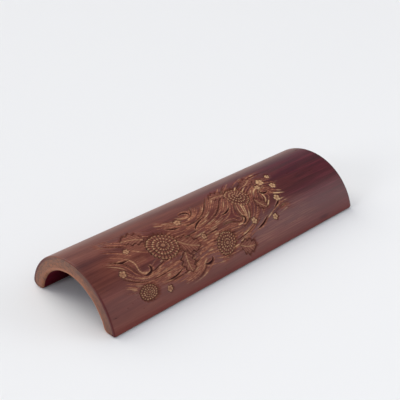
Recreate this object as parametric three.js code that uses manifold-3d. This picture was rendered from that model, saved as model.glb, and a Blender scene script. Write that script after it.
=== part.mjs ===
// A tea scoop made from one length of split bamboo culm: a hollowed half tube that lies on its two feet.
// Millimetres. X runs along the culm from the narrow end to the wide end, Y across it, and Z up.
// The origin is on the plane of the feet, under the middle of the scoop.
import * as THREE from 'three';
import { mergeVertices } from 'three/addons/utils/BufferGeometryUtils.js';
import Module from 'manifold-3d';

const wasm = await Module();
wasm.setup();

// Overall form
const LENGTH = 170; // from one cut face to the other
const HEIGHT = 25.6; // from the plane of the feet to the crown

// The culm's natural taper, and the hollow scraped out of it a little off centre.
// The walls are measured at the crown and, on the plane of the feet, at the front (-Y) and the back (+Y).
const NARROW_END = { outerRadius: 30.7, crownWall: 7.6, frontWall: 7.6, backWall: 7.0 };
const WIDE_END = { outerRadius: 31.9, crownWall: 7.0, frontWall: 7.2, backWall: 6.6 };

// Rounded edges along the feet, whose far sides are rubbed down further than their near sides
const FRONT_FOOT = { outerArris: 1.1, innerArris: 2.4 };
const BACK_FOOT = { outerArris: 2.5, innerArris: 1.2 };

// Rounded edges round the cut faces
const RIM_OUTER_ARRIS = 0.5;
const RIM_INNER_ARRIS = 1.3;
const RIM_FOOT_ARRIS = 1.0;

// The carving, placed on the unrolled skin: along it from the middle of the scoop, and across it from
// the crown towards the front. Turns are in degrees, and depths are below the skin.

// Flowers, each with rings of petals that step up from a sunk ground to a domed heart
const BLOOMS = [
  { along: -42, across: 15, radius: 8.6, squash: 0.84, turn: 20, petals: 26 },
  { along: -9, across: 28, radius: 6.6, squash: 0.8, turn: -35, petals: 22 },
  { along: 15, across: 8, radius: 7.2, squash: 0.82, turn: 60, petals: 24 },
  { along: -61, across: 31.5, radius: 4.8, squash: 0.75, turn: 10, petals: 18 },
];
const PETAL_RINGS = [
  { reach: 1, share: 1, phase: 0, depth: 0.6, ground: 1.4 },
  { reach: 0.68, share: 0.75, phase: 0.4, depth: 0.35, ground: 1.05 },
];
const HEART = { reach: 0.4, depth: 0.3, crown: 0.05, ground: 0.8 };
const PARTING_DEPTH = 0.32; // from a petal's edge down to the parting of two petals
const PARTING_NOTCH = 0.16; // how far a parting cuts back, as a share of the ring's reach
const PETAL_SHOULDER = 0.28; // from a parting to the petal's full reach, as a share of its width
const GROUND_MARGIN = 0.2; // from a flower or leaf to the foot of the slope round it
const BLOOM_SLOPE = 1.6; // the width of the slope that leads down to a flower's ground

// Lobed leaves, each with a sunk midrib
const LEAVES = [
  { along: -29, across: 19.5, length: 12, turn: 35 },
  { along: -52.5, across: 5, length: 11, turn: 205 },
  { along: -34, across: 27.5, length: 10, turn: 95 },
  { along: 3, across: 34, length: 10, turn: 20 },
  { along: 6, across: 2.5, length: 9.5, turn: 190 },
  { along: 28, across: 1.5, length: 9, turn: -25 },
  { along: 24, across: 17.5, length: 8, turn: 60 },
];
const LEAF_HALF_WIDTH = 0.33; // as a share of the length
const LEAF_BEND = 0.08; // how far the midrib bends aside, as a share of the length
const LEAF_LOBES = 3.5; // along each side
const LEAF_LOBE_DEPTH = 0.22; // as a share of the half width
const LEAF_EDGE_DEPTH = 0.3;
const LEAF_MIDRIB_DEPTH = 0.75;
const LEAF_GROUND_DEPTH = 1.1;
const LEAF_SLOPE = 1; // the width of the slope that leads down to a leaf's ground

// Crescent pits where the water turns, each part of the way round a core that is stretched along the scoop
const EDDIES = [
  { along: -58, across: 22, core: 2.2, facing: 41 },
  { along: -24, across: 31, core: 1.8, facing: 73 },
  { along: -20, across: 5, core: 2, facing: -45 },
  { along: 6, across: 21, core: 2, facing: 12 },
  { along: 31, across: 12, core: 1.6, facing: 131 },
];
const EDDY_STRETCH = 1.55;
const PIT_SPAN = 190; // how far round its core a pit runs
const PIT = { halfWidth: 0.9, depth: 1.3 };

// Single deep strokes of the chisel between the flowers, each bent aside at its middle
const FURROWS = [
  { along: -66, across: 13, length: 9, turn: 12, bend: 0.8 },
  { along: -31, across: 8.5, length: 10, turn: 20, bend: 1 },
  { along: -45, across: 29.5, length: 12, turn: -8, bend: 1.2 },
  { along: -17, across: 13.5, length: 11, turn: -25, bend: -1.2 },
  { along: 1, across: 13, length: 9, turn: -15, bend: 1 },
  { along: 17, across: 27, length: 12, turn: -20, bend: 1 },
  { along: 33, across: 21, length: 9, turn: -30, bend: 0.8 },
];
const FURROW = { halfWidth: 0.6, depth: 1.5 };
const STROKE_TIP = 0.2; // a stroke's depth at its tips, as a share of its full depth

// Fineness of the facets
const OUTER_ARC_STEPS = 48;
const INNER_ARC_STEPS = 36;
const FOOT_ARRIS_STEPS = 4;
const RIM_STEPS = 4;
const BODY_STEPS = 5;
const BLOOM_EDGE_STEPS = 20;
const HEART_STEPS = 10;
const LEAF_STEPS = 14;
const LEAF_GROUND_STEPS = 6;
const STROKE_STEPS = 5;
const BURIED = 0.8; // how far a raised form is rooted below its ground

const QUARTER_TURN = Math.PI / 2;
const FRONT = -1;
const BACK = 1;

// The circle through a crown point and two points on the plane of the feet
function archCircle(frontY, backY, crownZ) {
  const halfSpan = (backY - frontY) / 2;
  const radius = (halfSpan ** 2 + crownZ ** 2) / (2 * crownZ);
  return { radius, y: (frontY + backY) / 2, z: crownZ - radius };
}

// The two circles of the wall at one end of the culm
function wallCircles(end) {
  const outer = { radius: end.outerRadius, y: 0, z: HEIGHT - end.outerRadius };
  const reach = Math.sqrt(outer.radius ** 2 - outer.z ** 2);
  const inner = archCircle(end.frontWall - reach, reach - end.backWall, HEIGHT - end.crownWall);
  return { outer, inner };
}

// A wall circle between those of the two ends
function mixCircles(narrow, wide, share) {
  const mix = (key) => THREE.MathUtils.lerp(narrow[key], wide[key], share);
  return { radius: mix('radius'), y: mix('y'), z: mix('z') };
}

// How far a rounded edge has drawn a surface in, at a distance from the cut face
function inset(distance, arris) {
  if (distance >= arris) return 0;
  return arris - Math.sqrt(arris ** 2 - (arris - distance) ** 2);
}

// Points of an arc in the section plane, from one angle to another, without its last point
function arcPoints(circle, from, to, steps) {
  const arc = new THREE.EllipseCurve(circle.y, circle.z, circle.radius, circle.radius, from, to, to < from);
  return arc.getPoints(steps).slice(0, -1);
}

// The small circle that rounds a foot's edge. It touches the plane of the foot and the wall's circle,
// from inside the wall's circle for an outer edge and from outside it for an inner one.
// The angle is that of the touching point, seen from the centre of the wall's circle.
function roundingCircle(wall, footZ, arris, side, isOuter) {
  const reach = wall.radius + (isOuter ? -arris : arris);
  const z = footZ + arris;
  const y = wall.y + side * Math.sqrt(reach ** 2 - (z - wall.z) ** 2);
  return { radius: arris, y, z, angle: Math.atan2(z - wall.z, y - wall.y) };
}

// The closed section of the wall, anticlockwise with Y to the right and Z up
function wallSection(outer, inner, footZ) {
  const frontOuter = roundingCircle(outer, footZ, FRONT_FOOT.outerArris, FRONT, true);
  const frontInner = roundingCircle(inner, footZ, FRONT_FOOT.innerArris, FRONT, false);
  const backInner = roundingCircle(inner, footZ, BACK_FOOT.innerArris, BACK, false);
  const backOuter = roundingCircle(outer, footZ, BACK_FOOT.outerArris, BACK, true);
  const halfTurn = 2 * QUARTER_TURN;
  return [
    ...arcPoints(outer, backOuter.angle, frontOuter.angle, OUTER_ARC_STEPS),
    ...arcPoints(frontOuter, frontOuter.angle, 3 * QUARTER_TURN, FOOT_ARRIS_STEPS),
    new THREE.Vector2(frontOuter.y, footZ),
    ...arcPoints(frontInner, -QUARTER_TURN, frontInner.angle - halfTurn, FOOT_ARRIS_STEPS),
    ...arcPoints(inner, frontInner.angle, backInner.angle, INNER_ARC_STEPS),
    ...arcPoints(backInner, backInner.angle + halfTurn, 3 * QUARTER_TURN, FOOT_ARRIS_STEPS),
    new THREE.Vector2(backInner.y, footZ),
    ...arcPoints(backOuter, -QUARTER_TURN, backOuter.angle, FOOT_ARRIS_STEPS),
  ];
}

// The outer and inner circles of the wall at a place along the scoop
function wallAt(x) {
  const share = x / LENGTH + 0.5;
  const narrow = wallCircles(NARROW_END);
  const wide = wallCircles(WIDE_END);
  return {
    outer: mixCircles(narrow.outer, wide.outer, share),
    inner: mixCircles(narrow.inner, wide.inner, share),
  };
}

// The section at a place along the scoop, with the edges of the cut faces rounded
function sectionAt(x) {
  const fromFace = LENGTH / 2 - Math.abs(x);
  const { outer, inner } = wallAt(x);
  outer.radius -= inset(fromFace, RIM_OUTER_ARRIS);
  inner.radius += inset(fromFace, RIM_INNER_ARRIS);
  return wallSection(outer, inner, inset(fromFace, RIM_FOOT_ARRIS));
}

// Where the sections stand: close together over each rounded rim, and evenly spaced between them
function stations() {
  const rim = Math.max(RIM_OUTER_ARRIS, RIM_INNER_ARRIS, RIM_FOOT_ARRIS);
  const depth = (step) => rim * (1 - Math.cos((step / RIM_STEPS) * QUARTER_TURN));
  const depths = Array.from({ length: RIM_STEPS }, (_, step) => depth(step));
  const face = LENGTH / 2;
  const place = (step) => (face - rim) * ((2 * step) / BODY_STEPS - 1);
  const body = Array.from({ length: BODY_STEPS + 1 }, (_, step) => place(step));
  return [
    ...depths.map((distance) => distance - face),
    ...body,
    ...depths.map((distance) => face - distance).reverse(),
  ];
}

// The two triangles of each facet between neighbouring rings of points
function skinTriangles(rings, ringSize) {
  const triangles = [];
  for (let ring = 0; ring + 1 < rings; ring += 1) {
    for (let i = 0; i < ringSize; i += 1) {
      const here = ring * ringSize + i;
      const next = ring * ringSize + ((i + 1) % ringSize);
      triangles.push(here, next, next + ringSize);
      triangles.push(here, next + ringSize, here + ringSize);
    }
  }
  return triangles;
}

// The triangles of a flat end, whose points are numbered from first
function endTriangles(section, first) {
  return THREE.ShapeUtils.triangulateShape(section, []).flat().map((index) => first + index);
}

// One closed skin through the sections, with a flat face at each end
function loft(places, sections) {
  const ringSize = sections[0].length;
  const last = sections.length - 1;
  const ringPoints = (section, ring) => section.flatMap((point) => [places[ring], point.x, point.y]);
  const geometry = new THREE.BufferGeometry();
  geometry.setAttribute('position', new THREE.Float32BufferAttribute(sections.flatMap(ringPoints), 3));
  geometry.setIndex([
    ...skinTriangles(sections.length, ringSize),
    ...endTriangles(sections[0], 0).reverse(),
    ...endTriangles(sections[last], last * ringSize),
  ]);
  return geometry;
}

// A closed mesh as a solid that can be cut and joined, without the triangles that have folded up
function asSolid(geometry) {
  const merged = mergeVertices(geometry);
  const index = Array.from(merged.index.array);
  const corners = (triangle) => index.slice(3 * triangle, 3 * triangle + 3);
  const triangles = Array.from({ length: index.length / 3 }, (_, triangle) => corners(triangle));
  const kept = triangles.filter((triangle) => new Set(triangle).size === 3);
  return new wasm.Manifold(new wasm.Mesh({
    numProp: 3,
    vertProperties: merged.attributes.position.array,
    triVerts: Uint32Array.from(kept.flat()),
  }));
}

function asGeometry(solid) {
  const { numProp, vertProperties, triVerts } = solid.getMesh();
  const geometry = new THREE.BufferGeometry();
  geometry.setAttribute('position', new THREE.BufferAttribute(vertProperties, numProp));
  geometry.setIndex(new THREE.BufferAttribute(triVerts, 1));
  geometry.computeVertexNormals();
  return geometry;
}

// A point of a carved shape, from its place about the shape's middle to its place in space
function onSkin(shape, point) {
  const turn = THREE.MathUtils.degToRad(shape.turn ?? 0);
  const along = shape.along + point.along * Math.cos(turn) - point.across * Math.sin(turn);
  const across = shape.across + point.along * Math.sin(turn) + point.across * Math.cos(turn);
  const { outer } = wallAt(along);
  const angle = QUARTER_TURN + across / outer.radius;
  const reach = outer.radius - point.depth;
  return [along, outer.y + reach * Math.cos(angle), outer.z + reach * Math.sin(angle)];
}

// A closed solid through loops of points on the skin, from the sky down into the wall.
// The first and the last loop fold up into a point or a line.
function wrapped(shape, loops) {
  const geometry = new THREE.BufferGeometry();
  const points = loops.flat().flatMap((point) => onSkin(shape, point));
  geometry.setAttribute('position', new THREE.Float32BufferAttribute(points, 3));
  geometry.setIndex(skinTriangles(loops.length, loops[0].length));
  return asSolid(geometry);
}

// The same loop at another depth, and drawn in or out about the shape's middle
function shifted(loop, depth, scale = 1) {
  return loop.map((point) => ({ along: point.along * scale, across: point.across * scale, depth }));
}

// A point of a flower, at a share of the way round it
function onBloom(bloom, turns, reach, depth) {
  const angle = 4 * QUARTER_TURN * turns;
  return { along: reach * Math.cos(angle), across: reach * Math.sin(angle) * bloom.squash, depth };
}

function roundEdge(bloom, reach, depth, steps) {
  return Array.from({ length: steps }, (_, step) => onBloom(bloom, step / steps, reach, depth));
}

// The edge of a ring of petals: a parting and two shoulders for each petal
function petalEdge(bloom, ring) {
  const petals = Math.round(bloom.petals * ring.share);
  const reach = bloom.radius * ring.reach;
  const parting = { reach: reach * (1 - PARTING_NOTCH), depth: ring.depth + PARTING_DEPTH };
  return Array.from({ length: petals }, (_, petal) => petal - ring.phase).flatMap((place) => [
    onBloom(bloom, place / petals, parting.reach, parting.depth),
    onBloom(bloom, (place + PETAL_SHOULDER) / petals, reach, ring.depth),
    onBloom(bloom, (place + 1 - PETAL_SHOULDER) / petals, reach, ring.depth),
  ]);
}

// A hollow with sloping sides, to be cut where a flower stands
function bloomGround(bloom) {
  const { ground } = PETAL_RINGS[0];
  const foot = bloom.radius + GROUND_MARGIN;
  const brim = roundEdge(bloom, foot + 2 * BLOOM_SLOPE, -ground, BLOOM_EDGE_STEPS);
  const floor = roundEdge(bloom, foot, ground, BLOOM_EDGE_STEPS);
  return wrapped(bloom, [shifted(brim, -ground, 0), brim, floor, shifted(floor, ground, 0)]);
}

// A ring of petals, sloping down inwards to the foot of what stands on it
function petalRing(bloom, ring, next) {
  const edge = petalEdge(bloom, ring);
  const root = ring.ground + BURIED;
  return wrapped(bloom, [shifted(edge, next.ground, 0), edge, shifted(edge, root), shifted(edge, root, 0)]);
}

function bloomHeart(bloom) {
  const edge = roundEdge(bloom, bloom.radius * HEART.reach, HEART.depth, HEART_STEPS);
  const root = HEART.ground + BURIED;
  return wrapped(bloom, [shifted(edge, HEART.crown, 0), edge, shifted(edge, root), shifted(edge, root, 0)]);
}

// A loop round a long shape: back from its tip along one side, and forward again along the other
function bothSides(steps, pointAt) {
  const backward = Array.from({ length: steps }, (_, step) => pointAt(1 - step / steps, 1));
  const forward = Array.from({ length: steps }, (_, step) => pointAt(step / steps, -1));
  return [...backward, ...forward];
}

// A loop round a leaf at a depth, whose half width is a share of the leaf's length, with a margin outside it
function leafLoop(leaf, steps, depth, halfWidthAt, margin) {
  const halfTurn = 2 * QUARTER_TURN;
  return bothSides(steps, (share, side) => {
    const fullness = Math.sqrt(Math.max(0, Math.sin(halfTurn * share)));
    const halfWidth = leaf.length * fullness * halfWidthAt(share) + margin;
    const bend = leaf.length * LEAF_BEND * Math.sin(halfTurn * share);
    const along = (leaf.length + 2 * margin) * (share - 0.5);
    return { along, across: bend + side * halfWidth, depth };
  });
}

// A hollow with sloping sides and a plain edge, to be cut where a leaf lies
function leafGround(leaf) {
  const ground = LEAF_GROUND_DEPTH;
  const widest = () => LEAF_HALF_WIDTH * (1 + LEAF_LOBE_DEPTH);
  const loop = (depth, margin) => leafLoop(leaf, LEAF_GROUND_STEPS, depth, widest, margin);
  const line = (depth) => leafLoop(leaf, LEAF_GROUND_STEPS, depth, () => 0, 0);
  const brim = loop(-ground, 2 * LEAF_SLOPE);
  const floor = loop(ground, GROUND_MARGIN);
  return wrapped(leaf, [line(-ground), brim, floor, line(ground)]);
}

// A leaf with lobes along both sides, whose faces slope down to its midrib
function raisedLeaf(leaf) {
  const root = LEAF_GROUND_DEPTH + BURIED;
  const lobed = (share) => {
    const lobes = Math.cos(4 * QUARTER_TURN * LEAF_LOBES * share);
    return LEAF_HALF_WIDTH * (1 + LEAF_LOBE_DEPTH * lobes);
  };
  const edge = (depth) => leafLoop(leaf, LEAF_STEPS, depth, lobed, 0);
  const midrib = (depth) => leafLoop(leaf, LEAF_STEPS, depth, () => 0, 0);
  return wrapped(leaf, [midrib(LEAF_MIDRIB_DEPTH), edge(LEAF_EDGE_DEPTH), edge(root), midrib(root)]);
}

// One stroke of the chisel: a cut with a V section that swells and tapers along its path.
// The path gives, at a share of the way, a place and the direction to its left.
function chiselCut(shape, size, pathAt) {
  const swell = (share) => Math.sin(2 * QUARTER_TURN * share);
  const loop = (spread, rise) => bothSides(STROKE_STEPS, (share, side) => {
    const { place, left } = pathAt(share);
    const aside = side * spread * size.halfWidth * swell(share);
    return {
      along: place[0] + aside * left[0],
      across: place[1] + aside * left[1],
      depth: rise * size.depth * THREE.MathUtils.lerp(STROKE_TIP, 1, swell(share)),
    };
  });
  return wrapped(shape, [loop(0, -1), loop(2, -1), loop(0, 1)]);
}

function furrow(stroke) {
  return chiselCut(stroke, FURROW, (share) => ({
    place: [stroke.length * (share - 0.5), stroke.bend * (1 - (2 * share - 1) ** 2)],
    left: [0, 1],
  }));
}

function pit(eddy) {
  return chiselCut(eddy, PIT, (share) => {
    const angle = THREE.MathUtils.degToRad(eddy.facing + PIT_SPAN * (share - 0.5));
    const out = [Math.cos(angle), Math.sin(angle)];
    return { place: [EDDY_STRETCH * eddy.core * out[0], eddy.core * out[1]], left: [-out[0], -out[1]] };
  });
}

// The carving: first the strokes of the water, then the leaves on it, and the flowers over them
function carved(culm) {
  let rest = culm;
  for (const stroke of [...EDDIES.map(pit), ...FURROWS.map(furrow)]) rest = rest.subtract(stroke);
  for (const leaf of LEAVES) rest = rest.subtract(leafGround(leaf)).add(raisedLeaf(leaf));
  for (const bloom of BLOOMS) {
    rest = rest.subtract(bloomGround(bloom));
    PETAL_RINGS.forEach((ring, place) => {
      rest = rest.add(petalRing(bloom, ring, PETAL_RINGS[place + 1] ?? HEART));
    });
    rest = rest.add(bloomHeart(bloom));
  }
  return rest;
}

function halfCulm() {
  const places = stations();
  const culm = asSolid(loft(places, places.map(sectionAt)));
  const bamboo = new THREE.MeshStandardMaterial({ color: 0x6b443f, roughness: 0.42, metalness: 0 });
  const mesh = new THREE.Mesh(asGeometry(carved(culm)), bamboo);
  mesh.name = 'half_culm';
  return mesh;
}

const teaScoop = new THREE.Group();
teaScoop.add(halfCulm());

export default teaScoop;
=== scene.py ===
# A tea scoop of stained and carved bamboo, lying hollow side down on a pale floor.
# The model's sizes are in millimetres, and the camera's and the room's in metres.
# X runs along the culm from its narrow end, Y across it to the back, and Z up.
import math
from collections import namedtuple
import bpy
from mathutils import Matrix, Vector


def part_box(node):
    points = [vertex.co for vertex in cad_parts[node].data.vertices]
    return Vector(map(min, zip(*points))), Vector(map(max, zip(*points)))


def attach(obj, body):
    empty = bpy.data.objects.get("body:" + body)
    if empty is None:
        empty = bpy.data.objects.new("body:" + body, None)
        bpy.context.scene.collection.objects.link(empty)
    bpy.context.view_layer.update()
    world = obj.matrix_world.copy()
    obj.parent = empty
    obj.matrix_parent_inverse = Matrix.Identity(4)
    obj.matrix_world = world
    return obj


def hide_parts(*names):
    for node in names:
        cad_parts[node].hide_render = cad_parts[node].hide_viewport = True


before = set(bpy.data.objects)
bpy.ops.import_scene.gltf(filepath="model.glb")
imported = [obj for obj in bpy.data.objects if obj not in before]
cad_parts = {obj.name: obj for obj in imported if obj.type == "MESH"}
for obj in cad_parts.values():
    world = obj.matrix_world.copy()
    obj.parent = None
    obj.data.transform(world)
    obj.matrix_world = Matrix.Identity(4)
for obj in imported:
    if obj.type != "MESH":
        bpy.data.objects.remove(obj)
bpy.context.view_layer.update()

from types import SimpleNamespace as Named

import bmesh
import bpy
import numpy as np
from mathutils import Vector

MM = 0.001
QUARTER_TURN = math.pi / 2
HALF_TURN = math.pi
FULL_TURN = 2 * math.pi

# The culm's length, the distance of its faces from the middle, and its height, from the frame
CULM_LOW, CULM_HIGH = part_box("half_culm")
LENGTH = (CULM_HIGH.x - CULM_LOW.x) / MM
FACE = LENGTH / 2
HEIGHT = CULM_HIGH.z / MM

# The culm's taper and the hollow in it, with the wall at the crown and in the plane of the feet
NARROW_END = Named(outer_radius=30.7, crown_wall=7.6, front_wall=7.6, back_wall=7.0)
WIDE_END = Named(outer_radius=31.9, crown_wall=7.0, front_wall=7.2, back_wall=6.6)
FRONT_FOOT = Named(outer_arris=1.1, inner_arris=2.4)
BACK_FOOT = Named(outer_arris=2.5, inner_arris=1.2)
RIM = Named(outer_arris=0.5, inner_arris=1.3, foot_arris=1.0)
RIM_REACH = max(RIM.outer_arris, RIM.inner_arris, RIM.foot_arris)

# Fineness of the mesh
CARVED_STEP = 0.29
PLAIN_ARC_STEP = 1.1
PLAIN_LENGTH_STEP = 1.6
HOLLOW_LENGTH_STEP = 2.6
HOLLOW_ARC_STEPS = 84
FOOT_ARRIS_STEPS = 5
FOOT_STEPS = 6
RIM_STEPS = 6
END_FACE_STEPS = 96

# Small unevenness of the surfaces
SKIN_WEAR = 0.03
SKIN_FLUTE_DEPTH = 0.07
GOUGES = Named(depth=0.28, ripples=0.4, fade=0.06)
SAW_MARK_DEPTH = 0.05

# The carved field on the unrolled skin, along from the middle and down the front from the crown
FIELD = Named(left=-75.0, right=46.0, top=-7.0, bottom=39.0)

# Random patterns: how far they wander along and across a surface, and their seeds
DRIFT = (16.0, 9.0, 3)
RAGGED_EDGE = (7.0, 30.0, 8)
SHAVED_PLACES = (7.0, 3.5, 14)
FLUTES = (45.0, 3.2, 41)
GOUGE_FACETS = (60.0, 4.6, 51)
GOUGE_RIPPLES = (22.0, 1.5, 52)

# Random patterns along the water's lines: how far they wander along a line, how far on the next
# line starts, how far off it is and where the first is, and their seeds
RAGGED_END = (40.0, 0.0, 1.0, 31.5, 12)
STROKES = (7.5, 3.1, 1.7, 0.5, 5)
SWELL = (5.0, 1.0, 1.0, 0.0, 6)
FRESH_CUTS = (4.0, 9.0, 2.3, 0.0, 21)
PETAL_SEED = 31
SAW_MARK_SEED = 61

# The flowing water, cut as broken parallel grooves that curl round eddies
WATER = Named(
    middle=16.0, sway=5.5, sway_length=104.0, sway_start=-52.0, drift=1.95,
    half_width=19.0, ragged_edge=5.0, edge_fade=5.0,
    left=-74.0, right=44.0, ragged_end=8.0, end_fade=7.0,
    top_fade=(-5.0, -1.0), bottom_fade=(38.5, 36.0),
)
GROOVE = Named(
    pitch=1.1, half_width=0.3, depth=0.3, heavy_depth=0.9, heavy_every=7,
    least_swell=0.55, more_swell=0.7,
)
SHAVING = Named(depth=0.16, bare=0.22)
EDDY_STRETCH = 1.55
EDDY_REACH = 18.0
Eddy = namedtuple("Eddy", "at strength core facing")
EDDIES = [
    Eddy((-58.0, 22.0), 7.0, 2.2, 41),
    Eddy((-24.0, 31.0), -5.0, 1.8, 73),
    Eddy((-20.0, 5.0), 5.5, 2.0, -45),
    Eddy((6.0, 21.0), 6.5, 2.0, 12),
    Eddy((31.0, 12.0), -4.0, 1.6, 131),
]

# The crescent pit in each eddy, part of the way round its core
PIT = Named(span=190.0, half_width=0.9, depth=1.3)

# Single deep strokes of the chisel between the flowers, each bent aside at its middle
Furrow = namedtuple("Furrow", "at length turn bend")
FURROWS = [
    Furrow((-66.0, 13.0), 9.0, 12, 0.8),
    Furrow((-31.0, 8.5), 10.0, 20, 1.0),
    Furrow((-45.0, 29.5), 12.0, -8, 1.2),
    Furrow((-17.0, 13.5), 11.0, -25, -1.2),
    Furrow((1.0, 13.0), 9.0, -15, 1.0),
    Furrow((17.0, 27.0), 12.0, -20, 1.0),
    Furrow((33.0, 21.0), 9.0, -30, 0.8),
]
FURROW = Named(half_width=0.6, depth=1.5)
STROKE = Named(tip=0.2, lip_away=0.2, lip_width=0.3, thinnest=0.01)

# The flowers, each a sunk ground with rings of petals that step up to a hatched heart
Bloom = namedtuple("Bloom", "at radius squash turn petals")
BLOOMS = [
    Bloom((-42.0, 15.0), 8.6, 0.84, 20, 26),
    Bloom((-9.0, 28.0), 6.6, 0.80, -35, 22),
    Bloom((15.0, 8.0), 7.2, 0.82, 60, 24),
    Bloom((-61.0, 31.5), 4.8, 0.75, 10, 18),
]
Ring = namedtuple("Ring", "reach share phase depth ground slope")
PETAL_RINGS = [
    Ring(1.0, 1.0, 0.0, 0.6, 1.4, 1.6),
    Ring(0.68, 0.75, 0.4, 0.35, 1.05, 0.4),
    Ring(0.4, 0.5, 0.9, 0.22, 0.8, 0.3),
]
PETAL = Named(unevenness=0.06, hollow=0.14, bare=0.35, tip_bare=0.6, tip_fresh=0.5)
PARTING = Named(notch=0.16, sharpness=2.2, depth=0.32, width=0.16, widening=0.05, dark=0.9)
HEART = Named(reach=0.15, depth=0.05, ground=0.5, slope=0.2, bare=0.2)
HATCH = Named(depth=0.2, turns=3.6, bare=0.6, fresh=0.3)

# How deep a cut breaks the skin, and how deep a cut takes it away
SKIN_DEPTHS = (0.02, 0.14)

# The sunk ground round a shape, with the reach of the painted shade in its corner, and the shape's own
# edge, outside and inside its outline
GROUND = Named(margin=0.2, bare=0.3, dark_corner=0.42)
SHAPE_EDGE = (0.06, -0.12)

# The lobed leaves, by the middle of each, with a sunk midrib
Leaf = namedtuple("Leaf", "at length turn")
LEAVES = [
    Leaf((-29.0, 19.5), 12.0, 35),
    Leaf((-52.5, 5.0), 11.0, 205),
    Leaf((-34.0, 27.5), 10.0, 95),
    Leaf((3.0, 34.0), 10.0, 20),
    Leaf((6.0, 2.5), 9.5, 190),
    Leaf((28.0, 1.5), 9.0, -25),
    Leaf((24.0, 17.5), 8.0, 60),
]
LEAF = Named(
    half_width=0.33, bend=0.08, lobes=3.5, lobe_depth=0.22,
    edge_depth=0.3, midrib_depth=0.75, ground=1.1, slope=1.0, bare=0.1,
)
VEIN = Named(
    spacing=1.9, half_width=0.2, depth=0.2, side_share=0.8,
    bare=0.7, midrib_fresh=0.35, side_fresh=0.1,
)

# Small five-petalled blossoms that drift on the water, cut pale
Blossom = namedtuple("Blossom", "at radius turn")
BLOSSOMS = [
    Blossom((34.5, 6.0), 2.5, 10),
    Blossom((39.0, 11.5), 2.0, 40),
    Blossom((30.0, 8.5), 1.7, 65),
    Blossom((42.0, 4.5), 1.6, 25),
    Blossom((35.0, 19.0), 2.1, 15),
    Blossom((27.0, 27.5), 1.8, 50),
    Blossom((-26.0, 7.0), 2.0, 30),
    Blossom((-69.0, 19.0), 1.9, 5),
    Blossom((-50.0, 34.5), 1.7, 60),
    Blossom((-19.5, 20.0), 1.6, 20),
    Blossom((13.0, 24.5), 1.9, 45),
    Blossom((-60.0, 9.5), 1.6, 70),
]
BLOSSOM = Named(
    petals=5, ground=0.5, slope=0.5, depth=0.2, ring=0.6, ring_width=0.3, ring_depth=0.2,
    parting=0.42, notch=0.2, notch_width=0.16, bare=0.75, heart=0.22, heart_dark=0.7,
    fresh=0.35, tip_fresh=0.65,
)

# Screen colours of the bamboo, from 0 to 255, by place where they run with a pattern
BROWN_SKIN = {0.36: (84, 36, 28), 0.5: (105, 52, 40), 0.64: (125, 68, 53)}
MAROON_SKIN = {0.36: (50, 3, 15), 0.5: (73, 12, 25), 0.64: (98, 32, 43)}
FLECK = (46, 16, 18)
FLANK_PAINTED_SHEEN = (142, 88, 79)
PALE_FIBRE = (150, 106, 84)
HANDLED_SKIN = (66, 28, 28)
STAIN = (48, 14, 24)
RUBBED_EDGE = (106, 34, 27)
FAR_SIDE_PAINTED_SHEEN = (142, 104, 80)
FOOT_EDGE_PAINTED_SHADE = (44, 12, 18)
NARROW_RIM = (80, 22, 24)
WIDE_RIM_STAIN_AND_SHADE = (34, 12, 16)
SCRAPED_FIBRE = {0.3: (100, 48, 38), 0.7: (130, 74, 58)}
BARED_FIBRE = {0.36: (116, 58, 44), 0.5: (156, 95, 70), 0.64: (198, 140, 104)}
FRESH_FIBRE = {0.3: (210, 160, 108), 0.7: (250, 216, 166)}
CUT_SHADOW = (50, 12, 14)
SAWN_FACE = {0.0: (113, 76, 64), 0.40: (119, 80, 62), 0.70: (129, 83, 60), 1.0: (140, 88, 63)}
SAWN_PALE = (158, 100, 68)
SAWN_DARK = (82, 54, 46)
SAWN_FRONT_LEG = (82, 44, 40)
SOAKED_FACE = (76, 52, 46)
SMALL_BUNDLE = (84, 54, 44)
LARGE_BUNDLE = (88, 54, 42)
LIP_PAINTED_HIGHLIGHT = (184, 118, 82)
HOLLOW_STREAKS = {0.3: (68, 6, 22), 0.5: (86, 12, 28), 0.7: (102, 26, 36)}
HOLLOW_PAINTED_SHADE = (18, 4, 14)
FOOT_STREAKS = {0.3: (80, 38, 30), 0.5: (106, 58, 44), 0.7: (128, 80, 62)}
FLOOR_COLOUR = (236, 236, 237)

# Patches of the skin: the middle, the half width at the edge and that of the core, each way
WORN_FLANK = Named(along=(28.0, 36.0, 14.0), round=(31.0, 11.0, 4.0))
HANDLED_PATCH = Named(along=(-85.0, 12.0, 3.0), round=(11.0, 9.0, 3.0))
STAINED_SPOT = Named(along=(61.0, 6.0, 1.0), round=(40.3, 1.7, 0.3))

# How far round from the crown the narrow end's rim is worn, and where its dark line is whole
WORN_RIM = (12.0, 26.0)

# The camera: where it looks, and from where
CAMERA = Named(
    target=(0.0318, 0.0355, 0.0), azimuth=-45.016, elevation=27.299, distance=0.44529,
    lens=70.06, sensor_width=36.0, nearest=0.01,
)

# The room: a flat floor that sweeps up into a low wall all round
ROOM = Named(floor_radius=2.6, sides=96)
COVE = Named(run=0.5, rise=0.35, steps=8)

# The light: a soft sky, a wide window behind, a lamp in front and two pale cards
SKY = Named(colour=(0.84, 0.90, 1.0, 1.0), strength=0.44)
WINDOW = Named(direction=(-0.08, 0.66, 0.72), width=60.0, strength=2.08, colour=(1.0, 0.96, 0.89))
FRONT_CARD = Named(direction=(0.90, -0.76, 0.45), width=33.0, strength=0.60, colour=(0.94, 0.96, 1.0))
END_CARD = Named(direction=(-1.0, 0.05, 0.34), width=20.0, strength=0.72, colour=(0.97, 0.97, 1.0))
ROOM_LAMP = Named(
    place=(-0.12, -0.55, 0.62), target=(0.0, -0.2, 0.0), size=0.4,
    strength=0.5, colour=(0.93, 0.96, 1.0),
)


# Soft variation

def smooth_step(low, high, value):
    share = np.clip((value - low) / (high - low), 0.0, 1.0)
    return share * share * (3.0 - 2.0 * share)


def bell(distance, width):
    return np.exp(-((distance / width) ** 2))


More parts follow.
